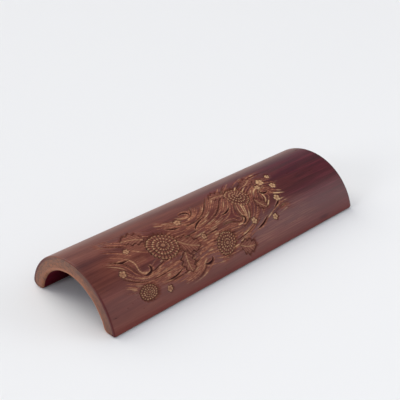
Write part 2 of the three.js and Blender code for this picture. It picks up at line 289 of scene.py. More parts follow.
def soft_noise(along, across, seed):
    """Values from 0 to 1 that wander once per unit each way."""
    rows, columns = 97, 89
    lattice = np.random.default_rng(seed).random((rows, columns))
    i = np.floor(along).astype(int)
    j = np.floor(across).astype(int)
    s = smooth_step(0.0, 1.0, along - i)
    t = smooth_step(0.0, 1.0, across - j)
    row, next_row = i % rows, (i + 1) % rows
    column, next_column = j % columns, (j + 1) % columns
    near = lattice[row, column] * (1 - s) + lattice[next_row, column] * s
    far = lattice[row, next_column] * (1 - s) + lattice[next_row, next_column] * s
    return near * (1 - t) + far * t


def pattern(form, along, across):
    length, width, seed = form
    return soft_noise(along / length, across / width, seed)


def line_pattern(form, along, line):
    """Values that wander along each line of the water."""
    length, shift, spacing, start, seed = form
    return soft_noise(along / length + shift * line, spacing * line + start, seed)


# The carving

class Relief:
    """The carving at each point: how deep, how bare and how freshly cut, and how dark, which is mostly
    painted shade in corners, creases and the bottoms of cuts.
    """

    def __init__(self, along, across):
        self.along = along
        self.across = across
        self.layers = {name: np.zeros_like(along) for name in ("depth", "bare", "dark", "fresh")}

    def add(self, **layers):
        """Brings each layer up to a new value, where that is more."""
        for name, value in layers.items():
            self.layers[name] = np.maximum(self.layers[name], value)

    def lay(self, outside, **layers):
        """Carves a shape's own surface inside its edge, over what is there."""
        inside = smooth_step(*SHAPE_EDGE, outside)
        for name, value in layers.items():
            self.layers[name] = self.layers[name] * (1 - inside) + value * inside

    def sink_round(self, outside, shape):
        """Sinks the ground under a shape and round it, with painted shade darkest in the corner at its
        foot.
        """
        near = smooth_step(GROUND.margin + shape.slope, 0.0, outside)
        corner = bell(np.maximum(outside, 0.0), GROUND.dark_corner)
        self.add(depth=shape.ground * near, bare=GROUND.bare * near, dark=corner)

    def stroke(self, away, size, swell):
        """A deep stroke with painted shade at its bottom and bare lips. The swell is 0 at its tips."""
        half_width = size.half_width * swell
        depth = size.depth * (STROKE.tip + (1 - STROKE.tip) * swell)
        inside = np.clip(1 - away / np.maximum(half_width, STROKE.thinnest), 0.0, 1.0)
        lip = bell(away - half_width - STROKE.lip_away, STROKE.lip_width) * smooth_step(0.0, 0.4, swell)
        self.add(depth=depth * inside, bare=lip, dark=smooth_step(0.1, 0.6, inside))


def water_sway(along):
    return WATER.sway * np.sin(FULL_TURN * (along - WATER.sway_start) / WATER.sway_length)


def stream_height(along, across):
    """A stream function: its level lines are the lines of the water."""
    drift = WATER.drift * (pattern(DRIFT, along, across) - 0.5)
    height = across - WATER.middle - water_sway(along) + drift
    for eddy in EDDIES:
        du = (along - eddy.at[0]) / EDDY_STRETCH
        dv = across - eddy.at[1]
        reach = np.sqrt(du ** 2 + dv ** 2 + eddy.core ** 2) / EDDY_REACH
        height += eddy.strength * np.log(reach)
    return height


def nearest_line(along, across):
    """The number of the water's nearest line to each point, and the distance to it."""
    step = 0.05
    least_slope = 0.25
    height = stream_height(along, across)
    slope = np.hypot(
        stream_height(along + step, across) - height,
        stream_height(along, across + step) - height,
    ) / step
    line = np.round(height / GROOVE.pitch)
    return line, np.abs(height - line * GROOVE.pitch) / np.maximum(slope, least_slope)


def water_extent(along, across, line):
    """1 where the water is cut, falling to 0 at its uneven edges and ends."""
    ragged = WATER.ragged_edge * (pattern(RAGGED_EDGE, along, across) - 0.5)
    from_edge = WATER.half_width + ragged - np.abs(across - WATER.middle - water_sway(along))
    uneven = WATER.ragged_end * (line_pattern(RAGGED_END, along, line) - 0.5)
    from_end = np.minimum(along - WATER.left, WATER.right - along) + uneven
    extent = smooth_step(0.0, WATER.edge_fade, from_edge) * smooth_step(0.0, WATER.end_fade, from_end)
    return extent * smooth_step(*WATER.top_fade, across) * smooth_step(*WATER.bottom_fade, across)


def freshness(along):
    """The cuts are paler towards the wide end."""
    return 0.5 + 0.5 * smooth_step(-5.0, 25.0, along)


def carve_water(relief):
    along, across = relief.along, relief.across
    line, away = nearest_line(along, across)
    extent = water_extent(along, across, line)

    # Each groove is a row of strokes that swell and taper, and some of its cuts are fresh; the heavy
    # grooves carry painted shade
    pressure = smooth_step(0.22, 0.5, line_pattern(STROKES, along, line)) * extent
    swell = GROOVE.least_swell + GROOVE.more_swell * line_pattern(SWELL, along, line)
    groove = bell(away, GROOVE.half_width * swell * (0.4 + 0.6 * pressure)) * pressure
    heavy = line % GROOVE.heavy_every == 0
    newly_cut = smooth_step(0.66, 0.9, line_pattern(FRESH_CUTS, along, line))
    relief.add(
        depth=np.where(heavy, GROOVE.heavy_depth, GROOVE.depth) * groove,
        bare=smooth_step(0.3, 0.75, groove),
        dark=np.where(heavy, smooth_step(0.45, 0.95, groove), 0.0),
        fresh=groove * newly_cut * freshness(along),
    )

    # Here and there the skin between the grooves is shaved thin
    shaved = smooth_step(0.6, 0.85, pattern(SHAVED_PLACES, along, across)) * extent
    relief.add(depth=SHAVING.depth * shaved, bare=SHAVING.bare * shaved)


def carve_pit(relief, eddy):
    """A deep crescent, cut where the water turns."""
    across = relief.across - eddy.at[1]
    along = (relief.along - eddy.at[0]) / EDDY_STRETCH
    angle = np.arctan2(across, along)
    turn = np.mod(angle - math.radians(eddy.facing) + HALF_TURN, FULL_TURN) - HALF_TURN
    share = np.clip(turn / math.radians(PIT.span) + 0.5, 0.0, 1.0)
    stretch = np.hypot(EDDY_STRETCH * np.cos(angle), np.sin(angle))
    away = np.abs(np.hypot(along, across) - eddy.core) * stretch
    relief.stroke(away, PIT, np.sin(math.pi * share))


def turned(relief, shape):
    """Places along and across a shape that is turned on the skin, from its middle."""
    angle = math.radians(shape.turn)
    du = relief.along - shape.at[0]
    dv = relief.across - shape.at[1]
    along = du * math.cos(angle) + dv * math.sin(angle)
    across = dv * math.cos(angle) - du * math.sin(angle)
    return along, across


def carve_furrow(relief, furrow):
    along, across = turned(relief, furrow)
    share = np.clip(along / furrow.length + 0.5, 0.0, 1.0)
    path = furrow.bend * (1 - (2 * share - 1) ** 2)
    relief.stroke(np.abs(across - path), FURROW, np.sin(math.pi * share))


def carve_petals(relief, bloom, radius, angle, ring, next_ring):
    """A ring of petals, which step down over the ring outside it."""
    petals = round(bloom.petals * ring.share)
    turn = angle * petals / FULL_TURN + ring.phase
    petal = np.floor(turn)
    side = np.abs(turn - petal - 0.5) * 2
    lengths = 1 - PETAL.unevenness * np.random.default_rng(PETAL_SEED).random(petals)
    reach = bloom.radius * ring.reach * lengths[petal.astype(int) % petals]
    outside = radius - reach * (1 - PARTING.notch * side ** PARTING.sharpness)
    relief.sink_round(outside, ring)

    # A petal is hollow, falls towards the next ring's foot and is parted from its neighbours by creases
    # painted with shade
    half_width = math.pi * radius / petals
    parting = bell((1 - side) * half_width, PARTING.width + PARTING.widening * half_width)
    hollow = 1 - side ** 2
    fall = (next_ring.ground - ring.depth) * np.clip(1 - radius / reach, 0.0, 1.0)
    depth = ring.depth + fall + PETAL.hollow * hollow + PARTING.depth * parting

    # Its middle is rubbed bare, and painted highlights pale it near the tip and in a line just inside its
    # outline there
    tip = smooth_step(-1.6, -0.2, outside)
    bare = (PETAL.bare + PETAL.tip_bare * tip) * smooth_step(0.45, 0.95, hollow)
    fresh = PETAL.tip_fresh * bell(outside + 0.3, 0.3) * smooth_step(0.4, 0.8, hollow)
    relief.lay(outside, depth=depth, bare=bare, dark=PARTING.dark * parting, fresh=fresh)


def carve_bloom(relief, bloom):
    along, across = turned(relief, bloom)
    across = across / bloom.squash
    radius = np.hypot(along, across)
    angle = np.arctan2(across, along)
    for ring, next_ring in zip(PETAL_RINGS, PETAL_RINGS[1:] + [HEART]):
        carve_petals(relief, bloom, radius, angle, ring, next_ring)

    outside = radius - HEART.reach * bloom.radius
    hatch = np.abs(np.sin(along * HATCH.turns) * np.sin(across * HATCH.turns))
    relief.sink_round(outside, HEART)
    depth = HEART.depth + HATCH.depth * hatch
    bare = HEART.bare + HATCH.bare * hatch
    relief.lay(outside, depth=depth, bare=bare, dark=0.0, fresh=HATCH.fresh * hatch)


def carve_leaf(relief, leaf):
    along, across = turned(relief, leaf)
    length = leaf.length
    share = np.clip(along / length + 0.5, 0.0, 1.0)
    across = across - LEAF.bend * length * np.sin(math.pi * share)
    lobes = 1 + LEAF.lobe_depth * np.cos(FULL_TURN * LEAF.lobes * share)
    half_width = LEAF.half_width * length * np.sqrt(np.sin(math.pi * share)) * lobes
    outside = np.maximum(np.abs(across) - half_width, np.abs(along) - length / 2)
    relief.sink_round(outside, LEAF)

    midrib = bell(across, VEIN.half_width)
    from_vein = ((along - np.abs(across)) / VEIN.spacing) % 1.0 - 0.5
    side_veins = bell(from_vein * VEIN.spacing, VEIN.half_width) * smooth_step(-0.1, -0.9, outside)
    veins = np.maximum(midrib, VEIN.side_share * side_veins)
    to_edge = np.clip(np.abs(across) / np.maximum(half_width, 0.5), 0.0, 1.0)
    depth = LEAF.midrib_depth + (LEAF.edge_depth - LEAF.midrib_depth) * to_edge + VEIN.depth * veins
    fresh = VEIN.midrib_fresh * midrib + VEIN.side_fresh * side_veins
    relief.lay(outside, depth=depth, bare=LEAF.bare + VEIN.bare * veins, dark=0.0, fresh=fresh)


def carve_blossom(relief, blossom):
    """A few notched petals, each a shallow cut into the pale fibre."""
    along, across = turned(relief, blossom)
    size = blossom.radius
    radius = np.hypot(along, across)
    turns = np.arctan2(across, along) * BLOSSOM.petals / FULL_TURN
    side = np.abs(turns - np.floor(turns) - 0.5) * 2
    notch = BLOSSOM.notch * bell(side, BLOSSOM.notch_width)
    outside = radius - size * (1 - BLOSSOM.parting * side ** 2 - notch)
    relief.sink_round(outside, BLOSSOM)
    heart = bell(radius, BLOSSOM.heart * size)
    ring = bell(radius - BLOSSOM.ring * size, BLOSSOM.ring_width * size)
    depth = BLOSSOM.depth + BLOSSOM.ring_depth * ring
    # Each petal's middle pales towards its tip with a painted highlight
    tip = smooth_step(0.35, 0.9, radius / size)
    fresh = (BLOSSOM.fresh + BLOSSOM.tip_fresh * tip * (1 - side)) * freshness(relief.along)
    relief.lay(outside, depth=depth, bare=BLOSSOM.bare, dark=BLOSSOM.heart_dark * heart, fresh=fresh)


def carve(along, across):
    """The layers that the chisel leaves at places along and across the skin."""
    relief = Relief(along, across)
    carve_water(relief)
    groups = [
        (carve_pit, EDDIES), (carve_furrow, FURROWS), (carve_leaf, LEAVES),
        (carve_bloom, BLOOMS), (carve_blossom, BLOSSOMS),
    ]
    for carve_shape, shapes in groups:
        for shape in shapes:
            carve_shape(relief, shape)
    return relief.layers


# The sections of the wall. A circle is a row of radius, y and z for each station along the culm.

def wall_circles(end):
    radius = end.outer_radius
    z = HEIGHT - radius
    reach = math.sqrt(radius ** 2 - z ** 2)
    front = end.front_wall - reach
    back = reach - end.back_wall
    crown = HEIGHT - end.crown_wall
    half_span = (back - front) / 2
    inner_radius = (half_span ** 2 + crown ** 2) / (2 * crown)
    outer = np.array([radius - SKIN_WEAR, 0.0, z])
    inner = np.array([inner_radius, (front + back) / 2, crown - inner_radius])
    return outer, inner


def inset(from_face, arris):
    """How far a rounded edge has drawn a surface in, at a distance from the cut face."""
    short = np.clip(arris - from_face, 0.0, arris)
    return arris - np.sqrt(arris ** 2 - short ** 2)


# The front is towards -Y. A rounding lies within the outer circle and outside the inner one.
FRONT, BACK = -1, 1
WITHIN, OUTSIDE = -1, 1


def on_circle(circle, radius, angle):
    """Points y and z round each station's circle."""
    y = circle[:, 1:2] + radius * np.cos(angle)
    z = circle[:, 2:3] + radius * np.sin(angle)
    return np.stack([y, z], -1)


def sweep(start, stop, shares):
    """Each station's angles at shares of the way from one angle to another."""
    return start[:, None] + (stop - start)[:, None] * shares


def arc(circle, start, stop, shares):
    return on_circle(circle, circle[:, 0:1], sweep(start, stop, shares))


class Wall:
    """The circles and touching angles of the wall's section at each station."""

    def __init__(self, stations):
        share = (stations / LENGTH + 0.5)[:, None]
        from_face = FACE - np.abs(stations)
        self.stations = stations
        ends = zip(wall_circles(NARROW_END), wall_circles(WIDE_END))
        self.outer, self.inner = [narrow * (1 - share) + wide * share for narrow, wide in ends]
        self.outer[:, 0] -= inset(from_face, RIM.outer_arris)
        self.inner[:, 0] += inset(from_face, RIM.inner_arris)
        self.foot_z = inset(from_face, RIM.foot_arris)
        self.front_outer = self.rounding(self.outer, FRONT_FOOT.outer_arris, FRONT, WITHIN)
        self.front_inner = self.rounding(self.inner, FRONT_FOOT.inner_arris, FRONT, OUTSIDE)
        self.back_inner = self.rounding(self.inner, BACK_FOOT.inner_arris, BACK, OUTSIDE)
        self.back_outer = self.rounding(self.outer, BACK_FOOT.outer_arris, BACK, WITHIN)

    def rounding(self, face, arris, side, lies):
        """The circle that rounds a foot's edge, and its touching angle seen from the wall's centre."""
        reach = face[:, 0] + lies * arris
        z = self.foot_z + arris
        y = face[:, 1] + side * np.sqrt(reach ** 2 - (z - face[:, 2]) ** 2)
        circle = np.stack([np.full_like(z, arris), y, z], -1)
        return Named(circle=circle, touch=np.arctan2(z - face[:, 2], y - face[:, 1]))

    def place(self, section_points):
        """Adds each station's x to its points."""
        x = np.broadcast_to(self.stations[:, None, None], section_points.shape[:2] + (1,))
        return np.concatenate([x, section_points], -1)


def spread(start, stop, step):
    """Even places from start up to, and without, stop."""
    return np.linspace(start, stop, max(1, round((stop - start) / step)), endpoint=False)


def with_rims(*between):
    """Stations from face to face, close over both rims, with given places between."""
    rim = RIM_REACH * (1 - np.cos(np.arange(RIM_STEPS + 1) / RIM_STEPS * QUARTER_TURN))
    return np.concatenate([rim[:-1] - FACE, *between, FACE - rim[::-1]])


def skin_stations():
    return with_rims(
        spread(RIM_REACH - FACE, FIELD.left, PLAIN_LENGTH_STEP),
        spread(FIELD.left, FIELD.right, CARVED_STEP),
        spread(FIELD.right, FACE - RIM_REACH, PLAIN_LENGTH_STEP),
    )


def skin_shares():
    """Shares of the way round the skin from the back foot to the front one, fine over the carving."""
    middle = Wall(np.array([0.0]))
    radius = middle.outer[0, 0]
    start = (middle.back_outer.touch[0] - QUARTER_TURN) * radius
    stop = (middle.front_outer.touch[0] - QUARTER_TURN) * radius
    places = np.concatenate([
        spread(start, FIELD.top, PLAIN_ARC_STEP),
        spread(FIELD.top, FIELD.bottom, CARVED_STEP),
        spread(FIELD.bottom, stop, PLAIN_ARC_STEP),
        [stop],
    ])
    return (places - start) / (stop - start)


# The mesh

VALUES = ("bare", "dark", "fresh", "cut", "rubbed")
SKIN, CUT_END, HOLLOW, FOOT = range(4)


class Draft:
    """Points, their surface values and faces, gathered before they become one mesh."""

    def __init__(self):
        self.points = []
        self.grain = []
        self.values = {name: [] for name in VALUES}
        self.faces = []
        self.slots = []

    def add_points(self, points, grain, **values):
        """Adds a block of points and gives back their numbers, arranged alike. The grain of a point
        is its place along the fibres, round the culm and into the wall."""
        shape = points.shape[:-1]
        numbers = np.arange(points[..., 0].size).reshape(shape) + sum(map(len, self.points))
        self.points.append(points.reshape(-1, 3))
        self.grain.append(grain.reshape(-1, 3))
        for name in VALUES:
            value = np.broadcast_to(values.get(name, 0.0), shape)
            self.values[name].append(value.reshape(-1))
        return numbers

    def add_grid(self, numbers, slots):
        """Fills a grid of points with four-sided faces, with one slot for all or one for each."""
        faces = np.stack([numbers[:-1, :-1], numbers[1:, :-1], numbers[1:, 1:], numbers[:-1, 1:]], -1)
        self.faces.extend(faces.reshape(-1, 4).tolist())
        self.slots.extend(np.broadcast_to(slots, faces.shape[:2]).reshape(-1).tolist())

    def add_zip(self, first, first_places, second, second_places, slot):
        """Joins two rows of points of unlike spacing with a strip of triangles."""
        first, second = first.tolist(), second.tolist()
        i = j = 0
        while i + 1 < len(first) or j + 1 < len(second):
            second_done = j + 1 == len(second)
            if second_done or (i + 1 < len(first) and first_places[i + 1] <= second_places[j + 1]):
                self.faces.append((first[i], first[i + 1], second[j]))
                i += 1
            else:
                self.faces.append((first[i], second[j + 1], second[j]))
                j += 1
            self.slots.append(slot)

    def build(self, name, materials):
        mesh = bpy.data.meshes.new(name)
        mesh.from_pydata((np.concatenate(self.points) * MM).tolist(), [], self.faces)
        for material in materials:
            mesh.materials.append(material)
        mesh.polygons.foreach_set("material_index", self.slots)
        mesh.shade_smooth()
        for value in VALUES:
            data = np.concatenate(self.values[value]).astype(np.float32)
            mesh.attributes.new(value, "FLOAT", "POINT").data.foreach_set("value", data)
        grain = np.concatenate(self.grain).astype(np.float32)
        mesh.attributes.new("grain", "FLOAT_VECTOR", "POINT").data.foreach_set("vector", grain.ravel())
        turn_faces_out(mesh)
        return link(name, mesh)


def turn_faces_out(mesh):
    shell = bmesh.new()
    shell.from_mesh(mesh)
    bmesh.ops.recalc_face_normals(shell, faces=shell.faces)
    shell.to_mesh(mesh)
    shell.free()
    mesh.update()


def link(name, data):
    """Puts a mesh, lamp or camera into the scene as an object."""
    piece = bpy.data.objects.new(name, data)
    bpy.context.scene.collection.objects.link(piece)
    return piece


def add_skin(draft):
    """The outside of the culm, with the carving cut into it."""
    wall = Wall(skin_stations())
    shares = skin_shares()
    angle = sweep(wall.back_outer.touch, wall.front_outer.touch, shares)
    radius = wall.outer[:, 0:1]
    along = np.broadcast_to(wall.stations[:, None], angle.shape)
    across = (angle - QUARTER_TURN) * radius
    layers = carve(along, across)
    depth = layers.pop("depth")
    cut = smooth_step(*SKIN_DEPTHS, depth)
    flutes = SKIN_FLUTE_DEPTH * pattern(FLUTES, along, across)
    points = wall.place(on_circle(wall.outer, radius - flutes - depth, angle))

    # The very rim carries on from the sawn face, a little way into the wall
    on_face = FACE - np.abs(along) < 0.02
    grain = np.stack([along, across, 0.6 * on_face], -1)
    rubbed = np.maximum(bell(shares - 1.0, 0.026), bell(shares, 0.02))
    numbers = draft.add_points(points, grain, cut=cut, rubbed=rubbed, **layers)
    draft.add_grid(numbers, SKIN)
    return wall.stations, numbers


ACROSS_FOOT = np.arange(1, FOOT_STEPS) / FOOT_STEPS


def foot_strip(wall, start, stop):
    """The flat of a foot between its two rounded edges."""
    first, last = start.circle[:, 1:2], stop.circle[:, 1:2]
    y = first + (last - first) * ACROSS_FOOT
    return np.stack([y, np.broadcast_to(wall.foot_z[:, None], y.shape)], -1)


def gouged_hollow(wall):
    """The hollow from front to back, in long facets and ripples that fade towards its edges."""
    shares = np.linspace(0.0, 1.0, HOLLOW_ARC_STEPS)
    angle = sweep(wall.front_inner.touch, wall.back_inner.touch, shares)
    radius = wall.inner[:, 0:1]
    along = np.broadcast_to(wall.stations[:, None], angle.shape)
    across = (QUARTER_TURN - angle) * radius
    ripples = GOUGES.ripples * pattern(GOUGE_RIPPLES, along, across)
    gouges = pattern(GOUGE_FACETS, along, across) + ripples
    fade = smooth_step(0.0, GOUGES.fade, shares) * smooth_step(1.0, 1.0 - GOUGES.fade, shares)
    return on_circle(wall.inner, radius + GOUGES.depth * gouges * fade, angle)


def inner_parts(wall):
    """The parts of the section, from the skin's front edge round through the hollow to its back edge.
    Each is a depth in the wall, from 0 at the skin to 1 at the hollow, and its points."""
    arris = np.arange(1, FOOT_ARRIS_STEPS + 1) / FOOT_ARRIS_STEPS
    inward = arris - arris[0]
    down = np.full(len(wall.stations), -QUARTER_TURN)
    down_again = down + FULL_TURN
    front_outer, front_inner = wall.front_outer, wall.front_inner
    back_inner, back_outer = wall.back_inner, wall.back_outer
    return {
        "front_outer": (0.0, arc(front_outer.circle, front_outer.touch, down_again, arris)),
        "front_flat": (ACROSS_FOOT, foot_strip(wall, front_outer, front_inner)),
        "front_inner": (1.0, arc(front_inner.circle, down, front_inner.touch - HALF_TURN, inward)),
        "hollow": (1.0, gouged_hollow(wall)),
        "back_inner": (1.0, arc(back_inner.circle, back_inner.touch + HALF_TURN, down_again, arris)),
        "back_flat": (1 - ACROSS_FOOT, foot_strip(wall, back_inner, back_outer)),
        "back_outer": (0.0, arc(back_outer.circle, down, back_outer.touch, inward)),
    }


def way_along(points):
    """How far along its row each point lies."""
    steps = np.linalg.norm(np.diff(points, axis=-2), axis=-1)
    return np.insert(np.cumsum(steps, -1), 0, 0.0, axis=-1)


def add_hollow_and_feet(draft):
    """The rest of the way round from the skin, with columns named for the parts."""
    wall = Wall(with_rims(spread(RIM_REACH - FACE, FACE - RIM_REACH, HOLLOW_LENGTH_STEP)))
    parts = inner_parts(wall)
    section_points = np.concatenate([part for depth, part in parts.values()], 1)
    points = wall.place(section_points)
    way_round = way_along(section_points)
    round_culm = way_round[:, -1:] / 2 - way_round
    depths = np.concatenate([np.broadcast_to(depth, part.shape[1]) for depth, part in parts.values()])
    into_wall = np.broadcast_to(depths * NARROW_END.crown_wall, round_culm.shape)
    numbers = draft.add_points(points, np.stack([points[..., 0], round_culm, into_wall], -1))
    stops = np.cumsum([part.shape[1] for depth, part in parts.values()])
    columns = dict(zip(parts, np.split(np.arange(stops[-1]), stops[:-1])))

    # The hollow's rounded lips take the sawn ends' finish
    from_face = FACE - np.abs(wall.stations)
    hair = 0.01
    lip = (from_face[:-1] < RIM.inner_arris - hair) & (from_face[1:] < RIM.inner_arris + hair)
    slots = np.full((len(wall.stations) - 1, stops[-1] - 1), FOOT)
    slots[:, columns["hollow"][0]:columns["hollow"][-1]] = HOLLOW
    slots[lip] = CUT_END
    draft.add_grid(numbers, slots)
    return wall.stations, numbers, columns


def along_row(points):
    """Each point's share of the way along a row."""
    lengths = way_along(points)
    return lengths / lengths[-1]


def row_at(points, shares):
    places = along_row(points)
    return np.stack([np.interp(shares, places, points[:, axis]) for axis in range(3)], -1)


def saw_marks(points, end):
    y, z = points[:, 1], points[:, 2]
    return SAW_MARK_DEPTH * soft_noise(y / 1.7 + z / 5.0, z / 9.0, SAW_MARK_SEED + end)


def add_end_face(draft, end, skin, rest, columns):
    """A sawn face, in rows round the arch from the skin's edge across to the hollow's."""
    inward = 1 if end == 0 else -1
    edge = {name: rest[end][column] for name, column in columns.items()}
    outer = np.concatenate([edge["back_outer"], skin[end], edge["front_outer"]])
    inner = np.concatenate([edge["front_inner"], edge["hollow"], edge["back_inner"]])[::-1]
    points = np.concatenate(draft.points)
    shares = np.linspace(0.0, 1.0, END_FACE_STEPS + 2)[1:-1]
    across_outer, across_inner = row_at(points[outer], shares), row_at(points[inner], shares)
    turn = (shares - 0.5) * HALF_TURN * NARROW_END.outer_radius
    rows = [outer]
    places = [along_row(points[outer])]
    for depth, back, front in zip(ACROSS_FOOT, edge["back_flat"][::-1], edge["front_flat"]):
        row = across_outer * (1 - depth) + across_inner * depth
        row[:, 0] += inward * saw_marks(row, end)
        into_wall = np.full_like(turn, depth * NARROW_END.crown_wall)
        middle = draft.add_points(row, np.stack([row[:, 0], turn, into_wall], -1))
        rows.append(np.concatenate([[back], middle, [front]]))
        places.append(np.concatenate([[0.0], shares, [1.0]]))
    rows.append(inner)
    places.append(along_row(points[inner]))
    for k in range(len(rows) - 1):
        draft.add_zip(rows[k], places[k], rows[k + 1], places[k + 1], CUT_END)


def carved_half_culm(materials):
    draft = Draft()
    skin_places, skin = add_skin(draft)
    rest_places, rest, columns = add_hollow_and_feet(draft)
    draft.add_zip(skin[:, -1], skin_places, rest[:, 0], rest_places, SKIN)
    draft.add_zip(rest[:, -1], rest_places, skin[:, 0], skin_places, SKIN)
    add_end_face(draft, 0, skin, rest, columns)
    add_end_face(draft, -1, skin, rest, columns)
    return draft.build("carved_half_culm", materials)


# Materials

def linear(colour):
    """A screen colour as the linear colour that a shader takes."""
    channels = [value / 255 for value in colour]
    bent = [c / 12.92 if c <= 0.04045 else ((c + 0.055) / 1.055) ** 2.4 for c in channels]
    return (*bent, 1.0)


# The numbers of a mix node's sockets for colours
FIRST_COLOUR, SECOND_COLOUR, MIXED_COLOUR = 6, 7, 2


class Paint:
    """A material whose colour is laid in layers, with short ways to add its nodes."""

    def __init__(self, name):
        self.material = bpy.data.materials.new(name)
        self.material.use_nodes = True
        self.nodes = self.material.node_tree.nodes
        self.links = self.material.node_tree.links
        self.colour = None
        self.grain = self.add("Attribute", {}, attribute_name="grain")["Vector"]
        self.along, self.round, self.into_wall = self.add("SeparateXYZ", {"Vector": self.grain})

    def put(self, sockets, values):
        """Sets or links sockets, by name or number."""
        for name, value in values.items():
            if isinstance(value, bpy.types.NodeSocket):
                self.links.new(value, sockets[name])
            else:
                sockets[name].default_value = value

    def add(self, kind, inputs, **settings):
        """Adds a node with its settings and inputs, and gives back its outputs."""
        node = self.nodes.new("ShaderNode" + kind)
        for name, value in settings.items():
            setattr(node, name, value)
        self.put(node.inputs, inputs)
        return node.outputs

    def value(self, name, share=1.0):
        """A share of a value that the surface carries."""
        return self.times(self.add("Attribute", {}, attribute_name=name)["Fac"], share)

    def stretched(self, per_mm):
        return self.add("VectorMath", {0: self.grain, 1: per_mm}, operation="MULTIPLY")["Vector"]

    def noise(self, per_mm, detail, roughness=0.55):
        """Noise over the fibres, by its waves per millimetre along, round and into the wall."""
        inputs = {"Vector": self.stretched(per_mm), "Scale": 1.0, "Detail": detail, "Roughness": roughness}
        return self.add("TexNoise", inputs)["Fac"]

    def dots(self, per_mm):
        """The distance from the nearest of many scattered points."""
        return self.add("TexVoronoi", {"Vector": self.stretched(per_mm), "Scale": 1.0})["Distance"]

    def math(self, operation, first, second=0.0):
        return self.add("Math", {0: first, 1: second}, operation=operation)["Value"]

    def times(self, first, second):
        return self.math("MULTIPLY", first, second)

    def plus(self, first, second):
        return self.math("ADD", first, second)

    def between(self, value, low, high, at_low=0.0, at_high=1.0):
        """Goes smoothly from one result to another while a value goes from low to high."""
        inputs = {"Value": value, "From Min": low, "From Max": high, "To Min": at_low, "To Max": at_high}
        return self.add("MapRange", inputs, interpolation_type="SMOOTHSTEP")["Result"]

    def band(self, axis, middle, edge, core):
        """1 within core of a place on an axis, and 0 beyond edge from it."""
        away = self.math("ABSOLUTE", self.math("SUBTRACT", axis, middle))
        return self.between(away, edge, core)

    def patch(self, place, share):
        """A share over a patch of the surface, which fades out round it."""
        within = self.times(self.band(self.along, *place.along), self.band(self.round, *place.round))
        return self.times(within, share)

    def ramp(self, value, stops):
        """Screen colours along a value, by their places from 0 to 1."""
        node = self.nodes.new("ShaderNodeValToRGB")
        elements = node.color_ramp.elements
        while len(elements) < len(stops):
            elements.new(0.5)
        for element, (place, colour) in zip(elements, stops.items()):
            element.position = place
            element.color = linear(colour)
        self.put(node.inputs, {"Fac": value})
        return node.outputs["Color"]

    def mix(self, share, first, second):
        """A share of the second colour over the first."""
        first, second = [linear(value) if isinstance(value, tuple) else value for value in (first, second)]
        inputs = {"Factor": share, FIRST_COLOUR: first, SECOND_COLOUR: second}
        return self.add("Mix", inputs, data_type="RGBA")[MIXED_COLOUR]

    def lay(self, share, colour):
        """Lays a share of a colour over what is there."""
        self.colour = self.mix(share, self.colour, colour)

    def finish(self, roughness, relief, relief_depth, gloss=0.5):
        normal = self.add("Bump", {"Distance": relief_depth * MM, "Height": relief})["Normal"]
        self.put(self.nodes["Principled BSDF"].inputs, {
            "Base Color": self.colour, "Roughness": roughness,
            "Specular IOR Level": gloss, "Normal": normal,
        })
        return self.material


def streaked_skin(paint, fine):
    """Lengthwise streaks, brown at the narrow end and maroon towards the wide one, with dark flecks."""
    broad = paint.noise((0.014, 0.22, 0.1), detail=2.0)
    patches = paint.noise((0.020, 0.11, 0.0), detail=3.0)
    flecks = paint.noise((0.22, 1.9, 1.0), detail=2.0)
    streaks = paint.times(paint.plus(fine, broad), 0.5)
    to_wide_end = paint.between(paint.along, -30.0, 80.0, at_high=0.92)
    redness = paint.plus(to_wide_end, paint.between(patches, 0.4, 0.65, at_high=0.35))
    paint.colour = paint.mix(redness, paint.ramp(streaks, BROWN_SKIN), paint.ramp(streaks, MAROON_SKIN))
    paint.lay(paint.between(flecks, 0.66, 0.76, at_high=0.5), FLECK)


def wear_and_sheen_skin(paint, fine):
    """Lays wear, handling and a stain over the skin, and painted sheen on the low front flank and beyond
    the crown.
    """
    # Painted sheen: a paler colour over the lower front flank, stronger towards the foot
    paint.lay(paint.between(paint.round, 10.0, 42.0, at_high=0.35), FLANK_PAINTED_SHEEN)
    fibres = paint.between(fine, 0.46, 0.66, at_high=0.32)
    paint.lay(paint.patch(WORN_FLANK, fibres), PALE_FIBRE)
    paint.lay(paint.patch(HANDLED_PATCH, 0.4), HANDLED_SKIN)
    paint.lay(paint.patch(STAINED_SPOT, 0.8), STAIN)
    paint.lay(paint.value("rubbed", 0.75), RUBBED_EDGE)

    # Beyond the crown a tan painted sheen lies over the skin, the more so towards the wide end
    beyond_crown = paint.between(paint.round, -2.0, -14.0)
    above_foot = paint.between(paint.round, -38.0, -20.0)
    tan = paint.between(paint.along, 0.0, 60.0, at_low=0.27, at_high=0.4)
    paint.lay(paint.times(paint.times(beyond_crown, above_foot), tan), FAR_SIDE_PAINTED_SHEEN)


def darkened_edges(paint):
    """Darkens the feet's edges with painted contact shade, and the rims but for the narrow end's crown,
    which is worn; the wide end's rim line is partly painted shade.
    """
    from_crown = paint.math("ABSOLUTE", paint.round)
    # Painted shade: a dark line along each foot's outer edge, where it meets the floor
    paint.lay(paint.between(from_crown, 42.9, 44.2, at_high=0.9), FOOT_EDGE_PAINTED_SHADE)
    # The rims darken to a line of skin stain, which at the wide end is near black, partly painted shade
    rim = paint.between(paint.math("ABSOLUTE", paint.along), FACE - 0.9, FACE - 0.3, at_high=0.8)
    wide_half = paint.between(paint.along, -10.0, 10.0)
    unworn = paint.math("MAXIMUM", paint.between(from_crown, *WORN_RIM), wide_half)
    paint.lay(paint.times(rim, unworn), paint.mix(wide_half, NARROW_RIM, WIDE_RIM_STAIN_AND_SHADE))


